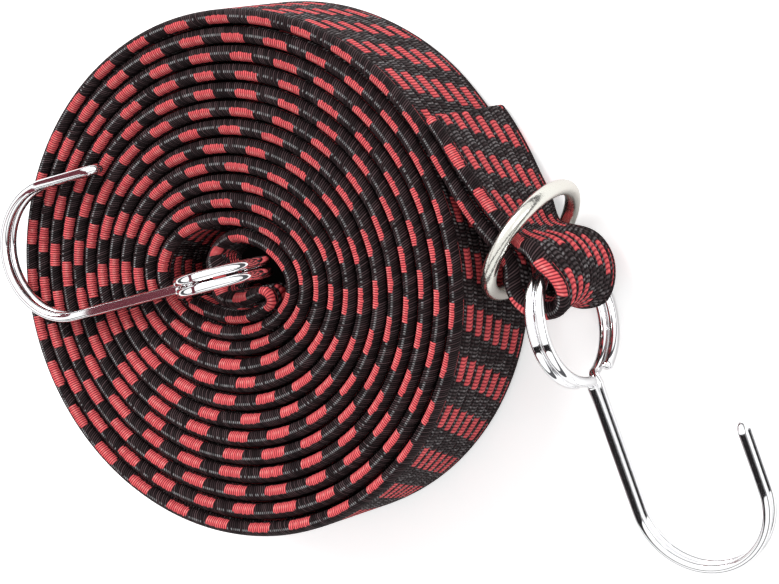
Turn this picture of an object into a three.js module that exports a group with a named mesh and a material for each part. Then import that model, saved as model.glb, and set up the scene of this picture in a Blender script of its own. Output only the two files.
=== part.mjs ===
// Flat bungee cord, wound in a roll, with a double wire hook at each end.
// The strap is a woven sheath over a rubber core. Each end is folded through the eye of a hook.
// A round wire ring clamps the folded outer end. Millimetres, +Z up, the roll lies on Z = 0.
import * as THREE from 'three';

// Strap, lying relaxed in the roll
const strapWidth = 28;
const strapThickness = 2.4;
const edgeThicknessShare = 0.8;
const sheathWall = 0.35;
const sheathEdgeWall = 0.7;
const coreClearance = 0.27;
const coreEdgeClearance = 1;

// Roll, measured on the strap's centre line
const rollRadius = 51.5;
const innerHalfWidth = 15.9;
const innerHalfHeight = 11;
const innerCentre = { x: -2.4, y: -0.1 };
const stepsPerTurn = 22;
const coilSteps = 250;
const neighbourSkip = 4;
const midHeight = strapWidth / 2;

// Hook: one wire, doubled at the tip, with one turn of each end as the eye
const wireDiameter = 2;
const wireGap = 0.3;
const neckFilletRadius = 2;
const shankLength = 26.6;
const bendRadius = 13.5;
const tipLength = 12;
const eyeEndAngle = THREE.MathUtils.degToRad(19);
const wireSides = 8;
const eyeSteps = 20;
const bendSteps = 12;
const filletSteps = 4;
const hairpinSteps = 4;

// Outer hook: its eye stands upright beside the roll and its bend rests on the same surface.
// The eye's centre is given from the clamp's.
const outerEyeRadius = 11.9;
const outerEyeReach = { x: 9.04, y: -14.45 };
const outerShankAzimuth = THREE.MathUtils.degToRad(-74.7);

// Inner hook: it lies flat on the upper face of the roll, its eye sunk into the hole
const innerEyeRadius = 8.8;
const innerEyeCentre = { x: -1.3, y: 0.9 };
const innerShankAzimuth = THREE.MathUtils.degToRad(196.6);
const touchGap = 0.3;

// Clamp ring round the two layers of the outer end, its near side beside the roll
const clampWireDiameter = 2.7;
const clampSlack = 0.335;
const clampRise = 0.201;
const clampAzimuth = THREE.MathUtils.degToRad(-30);
const clampSides = 8;
const clampSegments = 32;
const clampedOffset = 1.9;
const clampedWidth = 19.6;
const clampedThickness = 3.3;
const rollSideStep = 231;
const leavingSteps = 0.5;

// Route of the inner end, from the strap's cut end through the eye to the start of the coil.
// Each row: x, y, mid height, width, thickness.
const innerRoute = [
  [-10.8, -5.7, 14, 28, 2.4],
  [-7.5, -6.85, 14, 28, 2.4],
  [-2.5, -7.55, 14, 28, 2.4],
  [2.2, -6.95, 14, 28, 2.4],
  [5.0, -5.65, 14, 28, 2.4],
  [6.25, -4.8, 14, 28, 2.4],
  [7.25, -4.1, 14, 28, 2.4],
  [7.25, -2.95, 14, 28, 2.4],
  [6.35, -2.1, 14, 28, 2.4],
  [4.4, -2.3, 15.5, 25, 2.4],
  [2.8, -3.1, 18.5, 20, 2.6],
  [1.2, -3.6, 22, 15.5, 3.0],
  [-0.1, -3.4, 25.2, 12, 3.4],
  [-1.2, -2.3, 28, 9.4, 4.0],
  [-1.75, -0.8, 28, 8.8, 4.4],
  [-2.1, 0.7, 28, 8.6, 4.5],
  [-2.55, 2.2, 28, 8.8, 4.4],
  [-3.0, 3.6, 27.8, 9.4, 4.0],
  [-3.5, 5.0, 24.6, 14, 3.2],
  [-3.3, 6.6, 20.6, 19, 2.8],
  [-2.2, 7.9, 17, 23.5, 2.5],
  [-0.3, 8.6, 14.6, 27, 2.4],
  [2.25, 8.4, 14, 28, 2.4],
  [6.2, 7.15, 14, 28, 2.4],
  [9.3, 5.0, 14, 28, 2.4],
  [11.3, 2.5, 14, 28, 2.4],
  [12.1, -0.1, 14, 28, 2.4],
  [11.6, -2.85, 14, 28, 2.4],
  [9.85, -5.65, 14, 28, 2.4],
  [6.8, -8.15, 14, 28, 2.4],
  [2.6, -9.95, 14, 28, 2.4],
  [-2.25, -10.72, 14, 28, 2.4],
  [-7.15, -10.3, 14, 28, 2.4],
  [-11.6, -8.75, 14, 28, 2.4],
  [-15.1, -6.3, 14, 28, 2.4],
  [-17.4, -3.35, 14, 28, 2.4],
];

// Main layer of the outer end, from the coil to the clamp.
// Each row: x and y from the clamp's centre, width, thickness.
const mainLayerRoute = [
  [-14.16, 17.95, 28, 2.4],
  [-8.26, 8.55, 26.0, 2.5],
  [-4.3, 2.75, 22.8, 2.8],
];

// Folded loop round the wire of the outer eye.
// Each row: place along the shank from the eye centre, place along the eye's own axis, width, thickness.
const loopRoute = [
  [-12.1, -4.0, 19.0, 2.9],
  [-8.4, -4.05, 18.4, 2.9],
  [-5.6, -3.7, 17.6, 2.8],
  [-4.0, -1.9, 17.4, 2.8],
  [-3.5, 0.0, 17.4, 2.8],
  [-4.0, 1.9, 17.4, 2.8],
  [-5.6, 3.7, 17.6, 2.8],
  [-8.5, 4.05, 18.4, 2.9],
  [-12.0, 4.0, 19.0, 2.9],
  [-14.8, 3.6, 19.4, 3.0],
];

// Folded layer, from the clamp back to the strap's cut end on the roll.
// Each row: x and y from the clamp's centre, width, thickness.
const foldedLayerRoute = [
  [-2.1, 5.85, 22.8, 2.8],
  [-5.16, 10.25, 25.4, 2.5],
  [-8.46, 15.05, 27.4, 2.4],
  [-11.86, 19.85, 28, 2.4],
  [-14.16, 22.75, 28, 2.4],
];

const up = new THREE.Vector3(0, 0, 1);
const lerp = THREE.MathUtils.lerp;

// Centre of the coil's strap after a number of steps, wound clockwise from the left of the hole
function coilPlace(step) {
  const share = step / coilSteps;
  const angle = Math.PI - (2 * Math.PI * step) / stepsPerTurn;
  const halfWidth = lerp(innerHalfWidth, rollRadius, share);
  const halfHeight = lerp(innerHalfHeight, rollRadius, share);
  return new THREE.Vector3(
    lerp(innerCentre.x, 0, share) + halfWidth * Math.cos(angle),
    lerp(innerCentre.y, 0, share) + halfHeight * Math.sin(angle),
    midHeight,
  );
}

// Level axes of a hook's eye: along its shank, and the axis that the eye turns about
function eyeAxes(azimuth) {
  const along = new THREE.Vector3(Math.cos(azimuth), Math.sin(azimuth), 0);
  return { along, across: new THREE.Vector3().crossVectors(up, along) };
}

// Radius of the clamp ring, from the corners of the two layers inside it
const clampRadius = Math.hypot(clampedWidth / 2, clampedOffset + (clampedThickness * edgeThicknessShare) / 2)
  + clampSlack + clampWireDiameter / 2;

// Distance from the coil's centre line to the clamp's centre, level with the roll's right side
function clampReach(across) {
  return clampRadius * across.x + clampWireDiameter / 2 + strapThickness / 2 + touchGap;
}

const outerAxes = eyeAxes(outerShankAzimuth);
const clampAxes = eyeAxes(clampAzimuth);
const clampOrigin = new THREE.Vector3(
  coilPlace(rollSideStep).x + clampReach(clampAxes.across),
  rollRadius * clampRise,
  midHeight,
);
const outerOrigin = clampOrigin.clone().add(new THREE.Vector3(outerEyeReach.x, outerEyeReach.y, 0));

// Every station of the strap in order: centre, width and thickness
function strapStations() {
  const stations = [];
  const addFromClamp = ([x, y, width, thickness]) => {
    stations.push({ centre: clampOrigin.clone().add(new THREE.Vector3(x, y, 0)), width, thickness });
  };
  const addCoil = (step) => {
    stations.push({ centre: coilPlace(step), width: strapWidth, thickness: strapThickness });
  };
  const addClamped = (side) => {
    const centre = clampOrigin.clone().addScaledVector(clampAxes.across, side * clampedOffset);
    stations.push({ centre, width: clampedWidth, thickness: clampedThickness });
  };
  for (const [x, y, height, width, thickness] of innerRoute) {
    stations.push({ centre: new THREE.Vector3(x, y, height), width, thickness });
  }
  for (let step = 0; step <= coilSteps; step += 1) {
    addCoil(step);
  }
  addCoil(coilSteps + leavingSteps);
  mainLayerRoute.forEach(addFromClamp);
  addClamped(-1);
  for (const [along, across, width, thickness] of loopRoute) {
    const centre = outerOrigin.clone()
      .addScaledVector(outerAxes.along, along)
      .addScaledVector(outerAxes.across, across);
    stations.push({ centre, width, thickness });
  }
  addClamped(1);
  foldedLayerRoute.forEach(addFromClamp);
  return stations;
}

// Thickness direction at each station: level, and square to the route
function thicknessDirections(stations) {
  return stations.map((_, index) => {
    const before = stations[Math.max(index - 1, 0)].centre;
    const after = stations[Math.min(index + 1, stations.length - 1)].centre;
    const run = new THREE.Vector3().subVectors(after, before);
    return new THREE.Vector3().crossVectors(up, run).normalize();
  });
}

// Ring of points round a station, each given as a share of half the width and half the thickness
function stationRing(station, depth, width, thickness, shares) {
  return shares.map(([widthShare, depthShare]) => station.centre.clone()
    .addScaledVector(up, (widthShare * width) / 2)
    .addScaledVector(depth, (depthShare * thickness) / 2));
}

const crownedShares = [
  [-1, -edgeThicknessShare], [-1, edgeThicknessShare], [0, 1],
  [1, edgeThicknessShare], [1, -edgeThicknessShare], [0, -1],
];
const flatShares = [[-1, -1], [-1, 1], [1, 1], [1, -1]];

// Faces between two rings of points that follow one another
function wallFaces(first, second, count) {
  const faces = [];
  for (let side = 0; side < count; side += 1) {
    const next = (side + 1) % count;
    faces.push([first + side, first + next, second + next]);
    faces.push([first + side, second + next, second + side]);
  }
  return faces;
}

function fanFaces(first, count) {
  const faces = [];
  for (let side = 1; side < count - 1; side += 1) {
    faces.push([first, first + side, first + side + 1]);
  }
  return faces;
}

const reversed = (faces) => faces.map(([a, b, c]) => [a, c, b]);

function geometryFrom(rings, faces) {
  const geometry = new THREE.BufferGeometry();
  geometry.setFromPoints(rings.flat());
  geometry.setIndex(faces.flat());
  geometry.computeVertexNormals();
  return geometry;
}

// Solid tube through a list of rings, closed by a flat face at each end
function solidTube(rings) {
  const count = rings[0].length;
  const faces = [];
  for (let index = 0; index + 1 < rings.length; index += 1) {
    faces.push(...wallFaces(index * count, (index + 1) * count, count));
  }
  faces.push(...reversed(fanFaces(0, count)));
  faces.push(...fanFaces((rings.length - 1) * count, count));
  return geometryFrom(rings, faces);
}

// Hollow tube of crowned section with a flat bore, open at both cut ends
function sheathTube(outerRings, boreRings) {
  const outerCount = outerRings[0].length;
  const boreCount = boreRings[0].length;
  const boreStart = outerRings.length * outerCount;
  const faces = [];
  for (let index = 0; index + 1 < outerRings.length; index += 1) {
    faces.push(...wallFaces(index * outerCount, (index + 1) * outerCount, outerCount));
    const bore = boreStart + index * boreCount;
    faces.push(...reversed(wallFaces(bore, bore + boreCount, boreCount)));
  }
  const rim = (outer, bore) => [
    [outer, outer + 1, bore + 1], [outer, bore + 1, bore],
    [outer + 1, outer + 2, bore + 1], [outer + 2, bore + 2, bore + 1], [outer + 2, outer + 3, bore + 2],
    [outer + 3, outer + 4, bore + 3], [outer + 3, bore + 3, bore + 2],
    [outer + 4, outer + 5, bore + 3], [outer + 5, bore, bore + 3], [outer + 5, outer, bore],
  ];
  const lastOuter = (outerRings.length - 1) * outerCount;
  const lastBore = boreStart + (boreRings.length - 1) * boreCount;
  faces.push(...reversed(rim(0, boreStart)));
  faces.push(...rim(lastOuter, lastBore));
  return geometryFrom([...outerRings, ...boreRings], faces);
}

// Distance from a point to the segment between two others
function segmentDistance(point, start, end) {
  const line = new THREE.Line3(start, end);
  return line.closestPointToPoint(point, true, new THREE.Vector3()).distanceTo(point);
}

// Least level gap between the strap's faces and those of any other stretch of it, measured on points.
// Stations nearer than the skip are neighbours on one stretch.
function leastGap(stations, depths) {
  const face = (side) => stations.map((station, index) => station.centre.clone()
    .addScaledVector(depths[index], (side * station.thickness) / 2).setZ(midHeight));
  const faces = [face(1), face(-1)];
  let least = Infinity;
  for (const from of faces) {
    for (const to of faces) {
      for (let index = 0; index < from.length; index += 1) {
        for (let other = index + neighbourSkip; other + 1 < to.length; other += 1) {
          least = Math.min(least, segmentDistance(from[index], to[other], to[other + 1]));
        }
      }
    }
  }
  return least;
}

const wireSpread = (wireDiameter + wireGap) / 2;

// Distance from the eye's centre to the start of the bend, along the shank
function bendStart(eyeRadius) {
  return eyeRadius + wireDiameter / 2 + shankLength;
}

// Length of the strap along its centre line
function routeLength(stations) {
  return stations.slice(1).reduce(
    (sum, station, index) => sum + station.centre.distanceTo(stations[index].centre),
    0,
  );
}

// Half of the hook's wire, from the cut end beside the neck round the eye and down to the tip.
// Axes: x along the shank, y towards the tip's side, z across the two wires.
function hookHalf(eyeRadius) {
  const filletHeight = wireSpread + neckFilletRadius;
  const filletReach = Math.sqrt((eyeRadius + neckFilletRadius) ** 2 - filletHeight ** 2);
  const joinAngle = Math.atan2(filletHeight, filletReach);
  const points = [];
  for (let step = 0; step <= eyeSteps; step += 1) {
    const angle = lerp(2 * Math.PI - eyeEndAngle, joinAngle, step / eyeSteps);
    points.push(new THREE.Vector3(eyeRadius * Math.cos(angle), wireSpread, eyeRadius * Math.sin(angle)));
  }
  for (let step = 1; step <= filletSteps; step += 1) {
    const share = step / filletSteps;
    const angle = lerp(Math.PI + joinAngle, 1.5 * Math.PI, share);
    points.push(new THREE.Vector3(
      filletReach + neckFilletRadius * Math.cos(angle),
      wireSpread * (1 - THREE.MathUtils.smoothstep(share, 0, 1)),
      filletHeight + neckFilletRadius * Math.sin(angle),
    ));
  }
  for (let step = 0; step <= bendSteps; step += 1) {
    const angle = (Math.PI * step) / bendSteps;
    points.push(new THREE.Vector3(
      bendStart(eyeRadius) + bendRadius * Math.sin(angle),
      bendRadius * (1 - Math.cos(angle)),
      wireSpread,
    ));
  }
  points.push(new THREE.Vector3(bendStart(eyeRadius) - tipLength, 2 * bendRadius, wireSpread));
  return points;
}

// Whole wire of the hook: one half, the hairpin at the tip, and the other half back to its own eye
function hookWire(eyeRadius) {
  const half = hookHalf(eyeRadius);
  const path = [...half];
  for (let step = 1; step < hairpinSteps; step += 1) {
    const angle = (Math.PI * step) / hairpinSteps;
    path.push(new THREE.Vector3(
      bendStart(eyeRadius) - tipLength - wireSpread * Math.sin(angle),
      2 * bendRadius,
      wireSpread * Math.cos(angle),
    ));
  }
  const eyePoints = eyeSteps + 1 + filletSteps;
  half.map(({ x, y, z }, index) => new THREE.Vector3(x, index < eyePoints ? -y : y, -z))
    .reverse()
    .forEach((point) => path.push(point));
  return path;
}

// Rings of a round wire along a path, carried from point to point without twist
function wireRings(path, radius, sides) {
  const rings = [];
  const side = new THREE.Vector3();
  path.forEach((point, index) => {
    const before = path[Math.max(index - 1, 0)];
    const after = path[Math.min(index + 1, path.length - 1)];
    const run = new THREE.Vector3().subVectors(after, before).normalize();
    if (index === 0) {
      side.crossVectors(run, Math.abs(run.y) < Math.SQRT1_2 ? new THREE.Vector3(0, 1, 0) : up);
    }
    side.addScaledVector(run, -side.dot(run)).normalize();
    const other = new THREE.Vector3().crossVectors(run, side);
    const ring = [];
    for (let corner = 0; corner < sides; corner += 1) {
      const angle = (2 * Math.PI * corner) / sides;
      ring.push(point.clone()
        .addScaledVector(side, radius * Math.cos(angle))
        .addScaledVector(other, radius * Math.sin(angle)));
    }
    rings.push(ring);
  });
  return rings;
}

// Pitch at which the outer hook, turning about its eye, comes down onto the surface below
function restPitch() {
  const reach = bendStart(outerEyeRadius) + bendRadius;
  const drop = midHeight - wireDiameter / 2;
  return Math.asin(drop / Math.hypot(reach, wireSpread)) - Math.atan2(wireSpread, reach);
}

function place(mesh, origin, xAxis, yAxis, zAxis) {
  mesh.position.copy(origin);
  mesh.quaternion.setFromRotationMatrix(new THREE.Matrix4().makeBasis(xAxis, yAxis, zAxis));
  return mesh;
}

const finishes = {
  weave: new THREE.MeshStandardMaterial({ color: 0x2a2426, roughness: 0.85, metalness: 0 }),
  rubber: new THREE.MeshStandardMaterial({ color: 0xc9b48a, roughness: 0.6, metalness: 0 }),
  chrome: new THREE.MeshStandardMaterial({ color: 0xd8d9dc, roughness: 0.12, metalness: 1 }),
  satin: new THREE.MeshStandardMaterial({ color: 0xc8c6bf, roughness: 0.35, metalness: 1 }),
};

function namedMesh(name, geometry, material) {
  const mesh = new THREE.Mesh(geometry, material);
  mesh.name = name;
  return mesh;
}

function strapMeshes() {
  const stations = strapStations();
  const depths = thicknessDirections(stations);
  const sheathRings = [];
  const boreRings = [];
  const coreRings = [];
  stations.forEach((station, index) => {
    const { width, thickness } = station;
    const boreWidth = width - 2 * sheathEdgeWall;
    const boreThickness = thickness * edgeThicknessShare - 2 * sheathWall;
    sheathRings.push(stationRing(station, depths[index], width, thickness, crownedShares));
    boreRings.push(stationRing(station, depths[index], boreWidth, boreThickness, flatShares));
    coreRings.push(stationRing(
      station,
      depths[index],
      boreWidth - 2 * coreEdgeClearance,
      boreThickness - 2 * coreClearance,
      flatShares,
    ));
  });
  console.log(`least gap of the strap to itself: ${leastGap(stations, depths).toFixed(2)} mm`);
  console.log(`length of the strap: ${Math.round(routeLength(stations))} mm`);
  return [
    namedMesh('strap_cover', sheathTube(sheathRings, boreRings), finishes.weave),
    namedMesh('rubber_core', solidTube(coreRings), finishes.rubber),
  ];
}

function hookMesh(name, eyeRadius) {
  const rings = wireRings(hookWire(eyeRadius), wireDiameter / 2, wireSides);
  return namedMesh(name, solidTube(rings), finishes.chrome);
}

function outerHook() {
  const pitch = restPitch();
  const { along, across } = outerAxes;
  const shank = along.clone().multiplyScalar(Math.cos(pitch)).addScaledVector(up, -Math.sin(pitch));
  const stack = new THREE.Vector3().crossVectors(shank, across);
  return place(hookMesh('outer_hook', outerEyeRadius), outerOrigin, shank, across, stack);
}

function innerHook() {
  const height = strapWidth + touchGap + wireDiameter / 2 + wireSpread;
  const origin = new THREE.Vector3(innerEyeCentre.x, innerEyeCentre.y, height);
  const { along, across } = eyeAxes(innerShankAzimuth);
  return place(hookMesh('inner_hook', innerEyeRadius), origin, along, across.negate(), up.clone().negate());
}

function clampRing() {
  const geometry = new THREE.TorusGeometry(clampRadius, clampWireDiameter / 2, clampSides, clampSegments);
  const { along, across } = clampAxes;
  return place(namedMesh('clamp_ring', geometry, finishes.satin), clampOrigin, across, up, along);
}

const bungee = new THREE.Group();
bungee.add(...strapMeshes(), outerHook(), innerHook(), clampRing());

// The part stands on the middle of its own footprint
const bounds = new THREE.Box3().setFromObject(bungee, true);
bungee.position.set(
  -(bounds.min.x + bounds.max.x) / 2,
  -(bounds.min.y + bounds.max.y) / 2,
  -bounds.min.z,
);

export default bungee;
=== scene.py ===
"""A flat bungee cord wound in a roll, with a double wire hook at each end and a clamp ring.

The strap is swept along one smooth route, from its inner cut end through the inner hook's eye,
round the roll, through the outer hook's eye and back to its outer cut end. Metres, +Z up.
"""

import logging
import math
from dataclasses import dataclass
from enum import Enum
from typing import Callable, NamedTuple, Sequence

import bpy
import numpy as np
from bpy.types import Material, Node, NodeSocket, Object
from mathutils import Matrix, Vector


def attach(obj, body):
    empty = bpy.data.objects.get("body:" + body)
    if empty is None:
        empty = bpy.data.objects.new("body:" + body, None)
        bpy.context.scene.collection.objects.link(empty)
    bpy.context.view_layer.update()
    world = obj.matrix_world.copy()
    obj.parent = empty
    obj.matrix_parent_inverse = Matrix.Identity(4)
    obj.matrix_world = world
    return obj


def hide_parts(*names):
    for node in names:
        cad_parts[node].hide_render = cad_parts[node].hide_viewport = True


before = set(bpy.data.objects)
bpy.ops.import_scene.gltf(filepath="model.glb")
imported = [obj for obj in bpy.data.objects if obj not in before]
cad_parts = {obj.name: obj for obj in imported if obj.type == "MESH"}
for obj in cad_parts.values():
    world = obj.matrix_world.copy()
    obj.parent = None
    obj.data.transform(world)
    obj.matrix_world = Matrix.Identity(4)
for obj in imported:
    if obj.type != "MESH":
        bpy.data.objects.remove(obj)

LOG = logging.getLogger("bungee_cord")

Array = np.ndarray
Pair = tuple[float, float]
Triple = tuple[float, float, float]

MM = 0.001
WHITE = (1.0, 1.0, 1.0)

# The route below is given in millimetres from the roll's own centre; this is that centre's place
ROUTE_PLACE = np.array([-24.833, 0.121, 0.0])
STRAP_WIDTH = 28.0
MID_HEIGHT = STRAP_WIDTH / 2.0
TOUCH_GAP = 0.3
ROUTE_STEP = 0.25


class Slot(Enum):
    """Material slots of the record."""

    WEAVE = "weave"
    LATEX = "latex"
    CHROME = "chrome_wire"
    SATIN = "satin_wire"


class Body(Enum):
    """Bodies that pieces ride on."""

    CORD = "cord"
    OUTER_HOOK = "hook_at_outer_end"
    INNER_HOOK = "hook_at_inner_end"


# Shader formulas


def formula(operation: str, reflected: bool = False) -> "Callable[..., Value]":
    """Makes a method of one operation; a reflected one has its own value last."""

    def method(self: "Value", *others: "Value | float") -> "Value":
        terms = (*others, self) if reflected else (self, *others)
        return self.shade.maths(operation, *terms)

    return method


class Value:
    """A number inside a shader, which can be used in formulas."""

    def __init__(self, shade: "Shade", socket: NodeSocket) -> None:
        self.shade = shade
        self.socket = socket

    __add__ = __radd__ = formula("ADD")
    __sub__ = formula("SUBTRACT")
    __rsub__ = formula("SUBTRACT", reflected=True)
    __mul__ = __rmul__ = formula("MULTIPLY")
    __truediv__ = formula("DIVIDE")
    __pow__ = formula("POWER")
    __abs__ = formula("ABSOLUTE")
    floor = formula("FLOOR")
    fraction = formula("FRACT")
    sine = formula("SINE")
    least = formula("MINIMUM")
    most = formula("MAXIMUM")

    def above(self, edge: float, softness: float = 0.0) -> "Value":
        """One where this number is above an edge, zero below it, with a soft step between."""
        if softness <= 0.0:
            return self.shade.maths("GREATER_THAN", self, edge)
        return ((self - edge) / softness + 0.5).limited()

    def limited(self) -> "Value":
        """This number, held between zero and one."""
        return self.most(0.0).least(1.0)

    def wave(self) -> "Value":
        """Height of a round thread: zero at each whole number, one halfway to the next."""
        return (self.fraction() * math.pi).sine()


@dataclass(frozen=True)
class Plain:
    """A finish of one colour. The grain is the depth and size of small bumps, in metres."""

    colour: Triple
    roughness: float
    metallic: float = 0.0
    grain: Pair | None = None


@dataclass(frozen=True)
class Weave:
    """Finish of the woven strap. Lengths are in millimetres, turns round an edge from -1 to 1."""

    red: Triple = (1.0, 0.160, 0.165)
    # Painted shade: the dark red that the grooves between the threads take
    red_painted_groove_shade: Triple = (0.20, 0.003, 0.018)
    # Painted highlight: the pale red of a glint on the red band
    red_painted_glint: Triple = (1.0, 0.36, 0.33)
    black: Triple = (0.0050, 0.0020, 0.0026)
    # Painted sheen: the lighter black where light catches the black threads
    black_painted_sheen: Triple = (0.118, 0.071, 0.076)
    # Painted highlight: pale grey where light catches the threads
    painted_highlight: Triple = (0.50, 0.50, 0.51)
    roughness: float = 0.65
    gloss: float = 0.12
    dash_period: float = 9.9
    dash_share: float = 0.51
    dash_share_spread: float = 0.07
    dash_start: float = 6.2
    lean: float = 0.37
    thread_pitch: float = 0.46
    bead_pitch: float = 0.70
    band_middle: float = -0.30
    band_half: float = 0.46
    band_half_spread: float = 0.09
    band_softness: float = 0.07
    end_rounding: float = 0.12
    # Level of the painted glint
    painted_glint_level: float = 0.8
    # Painted highlight along the edge's crest: its middle, half width, softness and level
    crest_middle: float = 0.05
    crest_half: float = 0.09
    crest_softness: float = 0.08
    crest_highlight_level: float = 0.7
    stitch_slant: float = 2.2
    bead_arch: float = 0.3
    face_shift: float = 0.7
    # Level of the painted highlight on the beads
    face_painted_highlight_level: float = 0.42
    # Level of the painted sheen on the black beads
    face_painted_sheen_level: float = 0.52
    edge_relief: float = 0.16
    face_relief: float = 0.26


CHROME = Plain((0.95, 0.95, 0.96), 0.05, metallic=1.0)
SATIN = Plain((0.76, 0.75, 0.69), 0.20, metallic=1.0, grain=(0.00004, 0.0006))
LATEX = Plain((0.60, 0.46, 0.24), 0.55)


# Outline of the strap: half the width of a wide face, and the depth of a rolled edge beside it
RIB_PITCH = 1.9
RIB_COUNT = 13
FACE_HALF = RIB_PITCH * RIB_COUNT / 2
FACE_MARGIN = 0.02
EDGE_DEPTH = 1.9
EDGE_DEPTH_SHARE = 0.22

# A column is one rib that can be red and the black one beside it
COLUMN_PITCH = 3.8
RED_HALF = 1.22
BLACK_HALF = COLUMN_PITCH / 2 - RED_HALF
RED_MARGIN = 0.04
HIDDEN_RIB_HEIGHT = 0.6

# Seeds that keep the random numbers of one part of the weave apart from those of another
THREAD_SEED = 7919.0
GLINT_SEED = 577.0
DASH_SEED = 101.0
SLANT_SEED = 313.0
COLUMN_SEED = 577.0
FACE_SEED = 4111.0
RED_SEED = 91.0


class Shade:
    """Node tree of one material, with the formulas that feed its surface shader."""

    def __init__(self, name: str) -> None:
        self.material = bpy.data.materials.new(name)
        self.material.use_nodes = True
        self.tree = self.material.node_tree
        self.surface = self.tree.nodes["Principled BSDF"]

    def node(self, kind: str, inputs: dict | None = None, **settings) -> Node:
        """Adds a node.

        Args:
            kind: Type name of the node.
            inputs: Value, number or colour for each input, by name or index.
            settings: Properties of the node.

        Returns:
            The new node.
        """
        made = self.tree.nodes.new(kind)
        for key, setting in settings.items():
            setattr(made, key, setting)
        for key, source in (inputs or {}).items():
            self.feed(made.inputs[key], source)
        return made

    def feed(self, socket: NodeSocket, source: "Value | float | Sequence") -> None:
        """Links a value to a socket, or sets the socket to a number or colour."""
        if isinstance(source, Value):
            self.tree.links.new(source.socket, socket)
        else:
            socket.default_value = source

    def maths(self, operation: str, *terms: Value | float) -> Value:
        """Result of one operation on numbers."""
        made = self.node("ShaderNodeMath", dict(enumerate(terms)), operation=operation)
        return Value(self, made.outputs[0])

    @staticmethod
    def colour(value: Sequence[float]) -> tuple[float, ...]:
        """A colour with full alpha."""
        return (*value, 1.0)

    def mix(self, share: Value | float, first: Value | Sequence, second: Value | Sequence) -> Value:
        """Colour between two others, each a value or three numbers."""
        made = self.node("ShaderNodeMix", data_type="RGBA")
        factor, start, end = made.inputs[0], made.inputs[6], made.inputs[7]
        self.feed(factor, share)
        self.feed(start, first if isinstance(first, Value) else self.colour(first))
        self.feed(end, second if isinstance(second, Value) else self.colour(second))
        return Value(self, made.outputs[2])

    def attribute(self, name: str) -> tuple[Value, Value, Value]:
        """The three numbers that a mesh carries at each point under a name."""
        source = self.node("ShaderNodeAttribute", attribute_name=name)
        parts = self.node("ShaderNodeSeparateXYZ")
        self.tree.links.new(source.outputs["Vector"], parts.inputs[0])
        return tuple(Value(self, output) for output in parts.outputs)

    def random(self, seed: Value) -> Value:
        """An even random number from 0 to 1 for each seed."""
        made = self.node("ShaderNodeTexWhiteNoise", {"W": seed}, noise_dimensions="1D")
        return Value(self, made.outputs["Value"])

    def noise(self, size: float) -> Value:
        """Smooth noise over the object's own place, of a size in metres."""
        place = self.node("ShaderNodeTexCoord")
        made = self.node("ShaderNodeTexNoise", {"Scale": 1.0 / size, "Detail": 3.0})
        self.tree.links.new(place.outputs["Object"], made.inputs["Vector"])
        return Value(self, made.outputs["Fac"])

    def bump(self, height: Value, distance: float) -> None:
        """Raises the surface by a height, given in units of the distance."""
        made = self.node("ShaderNodeBump", {"Height": height, "Distance": distance})
        self.tree.links.new(made.outputs["Normal"], self.surface.inputs["Normal"])

    def set(self, name: str, source: Value | float | Sequence) -> None:
        """Sets or feeds an input of the surface shader."""
        self.feed(self.surface.inputs[name], source)


class Threads(NamedTuple):
    """What one kind of thread shows: shares of red and of painted highlight, painted shade and a
    random tone on the red, painted sheen on the black, the painted glint's share and the height in
    millimetres.
    """

    red: Value
    painted_shade_and_tone: Value
    black: Value
    painted_highlight: Value
    height: Value
    glint: Value | float = 0.0


def edge_threads(shade: Shade, finish: Weave, along: Value, side: Value, turn: Value) -> Threads:
    """Rolled edges: fine cross threads, with one red band towards the inner face.

    Args:
        shade: Node tree of the material.
        finish: Finish of the weave.
        along: Place along the strap.
        side: One on the upper edge, zero on the lower one.
        turn: Turn round the edge.

    Returns:
        The threads, with painted sheen on the slanting stitches of the black and a painted highlight
        along the crest.
    """
    count = along / finish.thread_pitch
    thread = count.floor()
    lot = shade.random(thread + side * THREAD_SEED)
    second_lot = shade.random(thread * 3.0 + side * GLINT_SEED + 0.5)
    rise = count.wave()
    place = (thread + 0.5) * finish.thread_pitch + finish.dash_start
    place = place - (side * 2.0 - 1.0) * FACE_HALF * finish.lean
    dash = (place / finish.dash_period).fraction()
    dash_lot = shade.random((place / finish.dash_period).floor() + side * DASH_SEED)
    share = finish.dash_share + (dash_lot - 0.5) * finish.dash_share_spread
    end = abs(dash / share * 2.0 - 1.0)
    reach = finish.band_half + (lot - 0.5) * finish.band_half_spread
    reach = reach - (end ** 8.0) * finish.end_rounding
    off = abs(turn - finish.band_middle)
    band = (reach - off).above(0.0, finish.band_softness)
    red = band * (share - dash).above(0.0)

    # Painted highlight in pale marks along the edge's crest
    crest = (finish.crest_half - abs(turn - finish.crest_middle)).above(0.0, finish.crest_softness)
    crest = crest * (second_lot - 0.15).above(0.0) * (rise ** 2.0) * (lot * 0.7 + 0.3)
    slant = count + turn * finish.stitch_slant
    slant_rise = slant.wave()
    slant_lot = shade.random(slant.floor() + side * SLANT_SEED)
    return Threads(
        red=red,
        # Painted shade in the grooves between the threads, with a random tone
        painted_shade_and_tone=(rise ** 1.2) * (lot * 0.3 + 0.7),
        # Painted sheen on the slanting stitches
        black=(slant_rise ** 5.0) * (slant_lot ** 1.5 * 0.9 + 0.1),
        painted_highlight=crest * finish.crest_highlight_level,
        height=(rise * red + slant_rise * (1.0 - red)) * finish.edge_relief,
        # Painted glint near the middle of the red band
        glint=(1.0 - off * 4.5).most(0.0) * rise * second_lot * finish.painted_glint_level,
    )


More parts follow.
